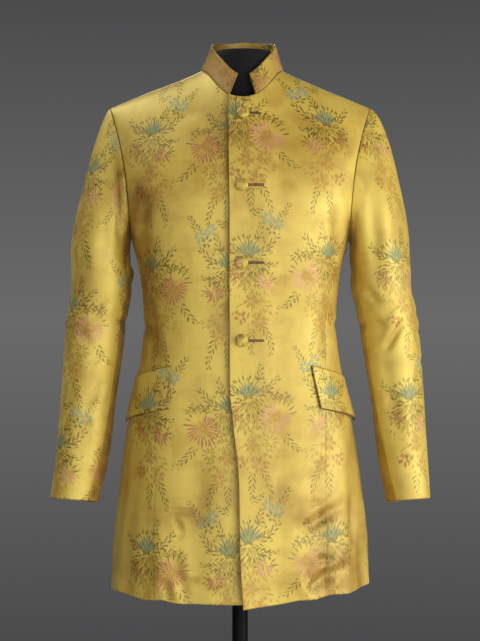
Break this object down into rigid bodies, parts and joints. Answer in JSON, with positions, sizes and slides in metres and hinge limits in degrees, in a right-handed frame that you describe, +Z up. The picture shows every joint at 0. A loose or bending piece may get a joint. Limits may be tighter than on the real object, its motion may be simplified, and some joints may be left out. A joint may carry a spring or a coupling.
{
  "type": "sherwani coat on a dress form",
  "caption": "Thigh-length stand-collar sherwani coat in gold floral silk brocade, buttoned, with flap pockets, on a black limbless dress form with pole and round base.",
  "frame": {"origin": "on the floor under the pole, at the middle of the object's plan box", "axes": "+Z up the pole; -Y is the coat's front, +X the wearer's left"},
  "size_m": [0.62, 0.4, 1.525],
  "materials": {
    "brocade": "gold silk satin brocade with woven flower sprays in teal, rose, olive and brown",
    "covered_button": "buttons covered in the coat's gold brocade",
    "form_jersey": "black jersey stretched over the form, matte",
    "black_steel": "black powder coat, satin"
  },
  "bodies": {
    "root": {"front_left": "brocade", "front_right": "brocade", "side_left": "brocade", "side_right": "brocade", "back_left": "brocade", "back_right": "brocade", "sleeve_top_left": "brocade", "sleeve_top_right": "brocade", "sleeve_under_left": "brocade", "sleeve_under_right": "brocade", "collar": "brocade", "flap_left": "brocade", "flap_right": "brocade", "button_1": "covered_button", "button_2": "covered_button", "button_3": "covered_button", "button_4": "covered_button", "form_torso": "form_jersey", "form_hub": "black_steel", "form_pole": "black_steel", "form_base": "black_steel"}
  },
  "joints": []
}
